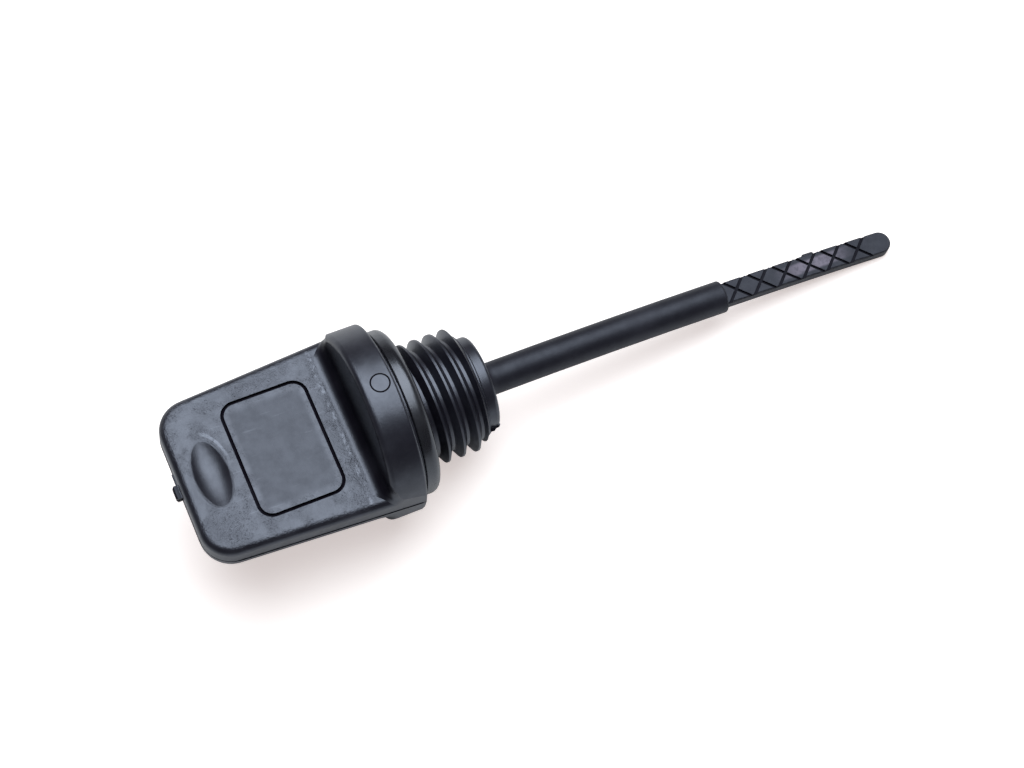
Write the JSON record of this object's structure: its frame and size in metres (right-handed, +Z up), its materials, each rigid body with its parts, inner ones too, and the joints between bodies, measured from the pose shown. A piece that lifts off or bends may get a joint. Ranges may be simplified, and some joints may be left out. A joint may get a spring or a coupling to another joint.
{
  "type": "engine oil dipstick",
  "caption": "Black plastic screw-in engine oil dipstick with a flat grip, rubber seal, threaded neck, round rod and grooved blade.",
  "frame": {"origin": "on the table, under the middle of the part as it lies", "axes": "+X towards the blade's tip, +Z up from the table, the grip level across Y"},
  "size_m": [0.1222, 0.03, 0.0306],
  "materials": {
    "body_plastic": "satin black moulded plastic",
    "seal_rubber": "smooth black rubber"
  },
  "bodies": {
    "root": {"dipstick_body": "body_plastic", "sealing_gasket": "seal_rubber"}
  },
  "joints": []
}
